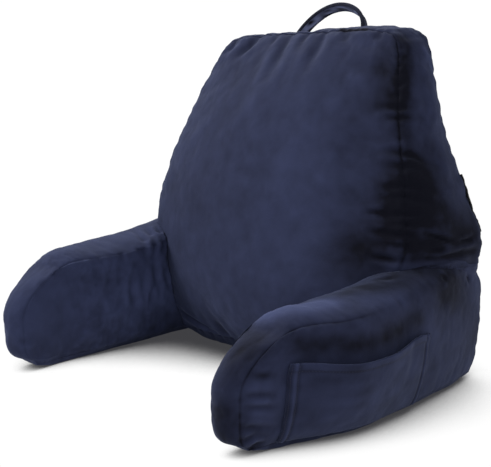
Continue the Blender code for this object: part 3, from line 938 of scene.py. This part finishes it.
def handle_line():
    """Points of the strap's middle, with its widthways and outward directions."""
    lean = np.array((0.0, HANDLE_LEAN, HANDLE_RISE))
    height = np.linalg.norm(lean)
    upwards = lean / height
    aside = np.array((1.0, 0.0, 0.0))
    across = np.cross(aside, upwards)
    start = np.array((HANDLE_MIDDLE, FRONT_EDGE_Y + HANDLE_DEPTH, HANDLE_ROOT))
    angles = np.linspace(0, pi, HANDLE_STEPS)[:, None]
    left, right = HANDLE_SQUARENESS["left"], HANDLE_SQUARENESS["right"]
    power = (left + right) / 2 + np.cos(angles) * (left - right) / 2
    path = (start - aside * np.cos(angles) * HANDLE_SPAN / 2
            + aside * HANDLE_SKEW * np.sin(angles)
            + upwards * height * np.clip(np.sin(angles), 0, 1) ** power)
    tangent = unit(np.gradient(path, axis=0))
    turn = HANDLE_TWIST * angles / pi
    wide = square_to(tangent, across * np.cos(turn) + aside * np.sin(turn))
    return path, wide, np.cross(tangent, wide)


def make_handle():
    path, wide, out = handle_line()
    quarter, inwards = HANDLE_QUARTER, HANDLE_QUARTER[-2::-1]
    shares = [(-a, -b) for a, b in quarter] + [(a, -b) for a, b in inwards]
    shares += [(a, b) for a, b in quarter[1:]] + [(-a, b) for a, b in inwards[:-1]]
    strap = strip_mesh("carry_strap", path, wide * HANDLE_WIDTH / 2, out * HANDLE_THICKNESS / 2,
                       shares)
    points = read_points(strap.data)
    steps = np.repeat(np.arange(HANDLE_STEPS), len(shares))
    across, inner = np.tile(np.transpose(shares), HANDLE_STEPS)
    spots = np.stack((steps * 0.30, across * 1.6 + steps * 0.10, 0 * across), axis=1)
    ruck = lattice_noise(spots, 91) * (1 - across ** 4) * (0.4 + 0.6 * (inner > 0))
    points += np.repeat(out, len(shares), axis=0) * (HANDLE_RUCK * ruck * inner)[:, None]
    write_points(strap.data, points)
    # painted sheen on the face and on each gather, painted shade on the rims, the outer side and the
    # feet
    face = (inner > 0) & (np.abs(across) <= HANDLE_FACE)
    feet = np.abs(steps / HANDLE_STEPS - 0.5) > HANDLE_FEET
    pile_and_painted_light = np.where(face, HANDLE_SHEEN_AND_SHADE["face"] + HANDLE_SHEEN_AND_SHADE["gathers"] * ruck, HANDLE_SHEEN_AND_SHADE["rest"])
    store_pile_and_painted_light(strap.data, pile_and_painted_light + HANDLE_SHEEN_AND_SHADE["feet"] * feet)
    return strap


ZIP_STEPS = 120
# flat tape with two closed rows of the coil along its middle, in shares of its half sizes
ZIP_OUTLINE = ((-1, 0), (-0.95, -1), (0.95, -1), (1, 0), (0.95, 0.7), (0.3, 0.7), (0.24, 1.3),
               (0.03, 1.3), (0.0, 0.8), (-0.03, 1.3), (-0.24, 1.3), (-0.3, 0.7), (-0.95, 0.7))


def zip_line(back_tree):
    """Where the zip lies on the back cushion's right rear seam."""
    up = np.linspace(*ZIP_UP, ZIP_STEPS)
    one = np.ones(ZIP_STEPS)
    here = back_skin(one, up, one)
    tangent = unit(np.gradient(here, axis=0))
    inwards = unit(back_skin(one - 0.02, up, one) - here)
    onwards = unit(back_skin(one, up, one - 0.02) - here)
    out = square_to(tangent, -(inwards + onwards))
    put_on(back_tree, here, out)
    return here, np.cross(tangent, out), out


def make_zip(back_tree):
    here, wide, out = zip_line(back_tree)
    half = out * ZIP_THICKNESS / 2
    return strip_mesh("rear_zip_tape", here + half, wide * ZIP_WIDTH / 2, half, ZIP_OUTLINE)


# -------- materials
# ends of the velour's ramp, stretched past the cloth's own range to reach painted crease shade and
# painted highlights
NAVY_DARK = (0.001, 0.0012, 0.0047, 1)
NAVY_LIGHT = (0.034, 0.0428, 0.099, 1)
# the strap's ramp reaches up to this light colour for its painted sheen
STRAP_SHEEN_LIGHT = (0.13, 0.15, 0.27, 1)
PLAIN_SHARE = 0.40  # where plain cloth lies between the two
PILE_AND_LIGHT_SHARE = 0.31  # how far the stored painted light and shade, with the pile's patches, moves the colour between them
CLOUD_SHARE = 0.27  # how far the small clouds go
CLOUD_SIZE = 0.03
SHEEN_TINT = (0.30, 0.36, 0.62, 1)
THREAD_COLOUR = (0.010, 0.012, 0.032, 1)
TAPE_DARK = (0.003, 0.003, 0.004, 1)
TAPE_LIGHT = (0.010, 0.010, 0.012, 1)


def set_inputs(tree, node, inputs):
    """Gives inputs of a node their values, or links them to other nodes' outputs."""
    for name, value in inputs.items():
        if isinstance(value, bpy.types.NodeSocket):
            tree.links.new(value, node.inputs[name])
        else:
            node.inputs[name].default_value = value


def add_node(tree, kind, result, inputs=None, **settings):
    """The named output of a new shader node with the given inputs and settings."""
    node = tree.nodes.new("ShaderNode" + kind)
    for name, value in settings.items():
        setattr(node, name, value)
    set_inputs(tree, node, inputs or {})
    return node.outputs[result]


def add_math(tree, operation, *values):
    return add_node(tree, "Math", "Value", dict(enumerate(values)), operation=operation)


def add_ramp(tree, factor, dark, light, ends=(0.0, 1.0), interpolation="LINEAR"):
    """A colour ramp from dark to light between the given ends."""
    colour = add_node(tree, "ValToRGB", "Color", {"Fac": factor})
    ramp = colour.node.color_ramp
    ramp.interpolation = interpolation
    for stop, place, shade in zip(ramp.elements, ends, (dark, light)):
        stop.position = place
        stop.color = shade
    return colour


def new_material(name):
    """A material, its node tree and its shader."""
    material = bpy.data.materials.new(name)
    material.use_nodes = True
    tree = material.node_tree
    return material, tree, tree.nodes["Principled BSDF"]


def velour(name, light):
    """Short-pile velour in soft random patches, made lighter and darker by the painted light and
    shade on its points.
    """
    material, tree, shader = new_material(name)
    where = add_node(tree, "TexCoord", "Object")
    pile_and_painted_light = add_node(tree, "Attribute", "Fac", attribute_name="pile_and_painted_light")
    clouds = add_node(tree, "TexNoise", "Fac", {
        "Vector": where, "Scale": 1 / CLOUD_SIZE, "Detail": 5, "Roughness": 0.72, "Distortion": 0.4})
    drift = add_math(tree, "MULTIPLY_ADD", clouds, CLOUD_SHARE, PLAIN_SHARE - CLOUD_SHARE / 2)
    both = add_math(tree, "MULTIPLY_ADD", pile_and_painted_light, PILE_AND_LIGHT_SHARE, drift)
    crush = add_node(tree, "TexNoise", "Fac", {
        "Vector": where, "Scale": 70, "Detail": 4, "Roughness": 0.6})
    soft = add_node(tree, "Bump", "Normal", {"Strength": 0.5, "Distance": 0.0012, "Height": crush})
    pile = add_node(tree, "TexNoise", "Fac", {"Vector": where, "Scale": 1400, "Detail": 1})
    bump = add_node(tree, "Bump", "Normal", {
        "Strength": 0.3, "Distance": 0.0004, "Height": pile, "Normal": soft})
    set_inputs(tree, shader, {
        "Base Color": add_ramp(tree, both, NAVY_DARK, light), "Roughness": 0.9,
        "Specular IOR Level": 0.12, "Sheen Weight": 0.15, "Sheen Roughness": 0.45,
        "Sheen Tint": SHEEN_TINT, "Normal": bump})
    return material


def plain_thread():
    """Dull navy sewing thread."""
    material, tree, shader = new_material("navy_thread")
    set_inputs(tree, shader, {
        "Base Color": THREAD_COLOUR, "Roughness": 0.7, "Specular IOR Level": 0.3})
    return material


def black_tape():
    """Matt black zip tape with a fine rib."""
    material, tree, shader = new_material("zip_black")
    where = add_node(tree, "TexCoord", "Object")
    rib = add_node(tree, "TexWave", "Fac", {"Vector": where, "Scale": 500}, bands_direction="Z")
    bump = add_node(tree, "Bump", "Normal", {"Strength": 0.4, "Distance": 0.0003, "Height": rib})
    set_inputs(tree, shader, {
        "Base Color": add_ramp(tree, rib, TAPE_DARK, TAPE_LIGHT), "Roughness": 0.6,
        "Specular IOR Level": 0.3, "Normal": bump})
    return material


def fit(piece, node, material):
    """Gives a piece its material and body, and hides the CAD part it stands in for."""
    piece.data.materials.append(material)
    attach(piece, "root")
    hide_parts(node)


# -------- camera, floor and light
CAMERA_AZIMUTH = radians(43.98)
CAMERA_ELEVATION = radians(11.76)
CAMERA_DISTANCE = 1.599
CAMERA_TARGET = Vector((0.030, -0.002, 0.209))
CAMERA_LENS = 84.1


def aim(name, data, place, target):
    """Puts a camera or a lamp into the scene, turned towards its target."""
    thing = bpy.data.objects.new(name, data)
    bpy.context.scene.collection.objects.link(thing)
    thing.location = place
    thing.rotation_euler = (Vector(target) - Vector(place)).to_track_quat("-Z", "Y").to_euler()
    return thing


def add_camera():
    data = bpy.data.cameras.new("camera")
    data.sensor_width = 36
    data.lens = CAMERA_LENS
    outwards = Vector((sin(CAMERA_AZIMUTH) * cos(CAMERA_ELEVATION),
                       -cos(CAMERA_AZIMUTH) * cos(CAMERA_ELEVATION), sin(CAMERA_ELEVATION)))
    place = CAMERA_TARGET + outwards * CAMERA_DISTANCE
    bpy.context.scene.camera = aim("camera", data, place, CAMERA_TARGET)


FLOOR_REACH = 150.0
FLOOR_DARK = (0.05, 0.05, 0.055, 1)
FLOOR_LIGHT = (1.02, 1.02, 1.02, 1)
FLOOR_RAMP = (0.15, 0.70)  # how open the floor is where its light starts and ends rising
SHADE_REACH = 0.20  # how far the floor is shaded round what stands on it
SHADE_ALONG = (-0.22, 0.12)  # from the front to the rear the floor's shade deepens
SHADE_SHIFT = (0.09, -0.12)


def add_floor():
    """A white floor that glows like an overexposed studio sheet, shaded softly at the pillow."""
    edge = FLOOR_REACH
    corners = [(-edge, -edge, 0), (edge, -edge, 0), (edge, edge, 0), (-edge, edge, 0)]
    floor = new_object("floor", corners, [[0, 1, 2, 3]])
    material, tree, shader = new_material("white_floor")
    near = add_node(tree, "AmbientOcclusion", "AO", {"Distance": SHADE_REACH}, samples=16)
    where = add_node(tree, "TexCoord", "Object")
    along = add_node(tree, "SeparateXYZ", "Y", {"Vector": where})
    shift = add_node(tree, "MapRange", "Result", {
        "Value": along, "From Min": SHADE_ALONG[0], "From Max": SHADE_ALONG[1],
        "To Min": SHADE_SHIFT[0], "To Max": SHADE_SHIFT[1]}, interpolation_type="SMOOTHSTEP")
    glow = add_ramp(tree, add_math(tree, "ADD", near, shift), FLOOR_DARK, FLOOR_LIGHT, FLOOR_RAMP,
                    "EASE")
    set_inputs(tree, shader, {"Base Color": (0, 0, 0, 1), "Specular IOR Level": 0,
                              "Emission Color": glow, "Emission Strength": 1.0})
    floor.data.materials.append(material)


LAMP_TARGET = (0, 0, 0.2)
SKY_SIDE = (0.80, 0.60, 0.0)  # the sky is bright towards here, behind the pillow's right side
SKY_LIGHT = 1.1
LAMP_SIZE = 1.4
# place, power
LAMPS = {
    "key": ((-1.9, -1.2, 1.9), 72),
    "front": ((-1.2, -2.2, 1.4), 30),
    "rear_left": ((-1.5, 1.2, 2.2), 50),
    "beside_camera": ((1.5, -2.0, 1.2), 24),
    "rear_right": ((1.8, 0.8, 1.8), 14),
}


def add_light():
    world = bpy.data.worlds.new("studio")
    bpy.context.scene.world = world
    world.use_nodes = True
    tree = world.node_tree
    where = add_node(tree, "TexCoord", "Generated")
    side = add_node(tree, "VectorMath", "Value", {0: where, 1: SKY_SIDE}, operation="DOT_PRODUCT")
    lobe = add_math(tree, "POWER", add_math(tree, "MAXIMUM", side, 0.0), 2.0)
    set_inputs(tree, tree.nodes["Background"], {
        "Color": (1, 1, 1, 1), "Strength": add_math(tree, "MULTIPLY", lobe, SKY_LIGHT)})
    for name, (place, power) in LAMPS.items():
        data = bpy.data.lights.new(name, "AREA")
        data.shape = "SQUARE"
        data.size = LAMP_SIZE
        data.energy = power
        aim(name, data, place, LAMP_TARGET)
    bpy.context.scene.view_settings.view_transform = "Standard"


# -------- putting it together
def main():
    fabric = velour("navy_velour", NAVY_LIGHT)
    thread = plain_thread()
    back = make_back()
    fit(back, "back_cushion", fabric)
    back_tree = surface_tree(back)
    for side in SIDE_SIGN:
        arm = make_arm(side, back_tree)
        fit(arm, "arm_" + side, fabric)
        pocket = make_pocket(side, surface_tree(arm))
        fit(pocket, "pocket_" + side, fabric)
        stitches = make_stitches(side, pocket)
        stitches.data.materials.append(thread)
        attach(stitches, "root")
    fit(make_handle(), "handle", velour("navy_strap_painted_sheen", STRAP_SHEEN_LIGHT))
    fit(make_zip(back_tree), "rear_zip", black_tape())
    add_camera()
    add_floor()
    add_light()


main()
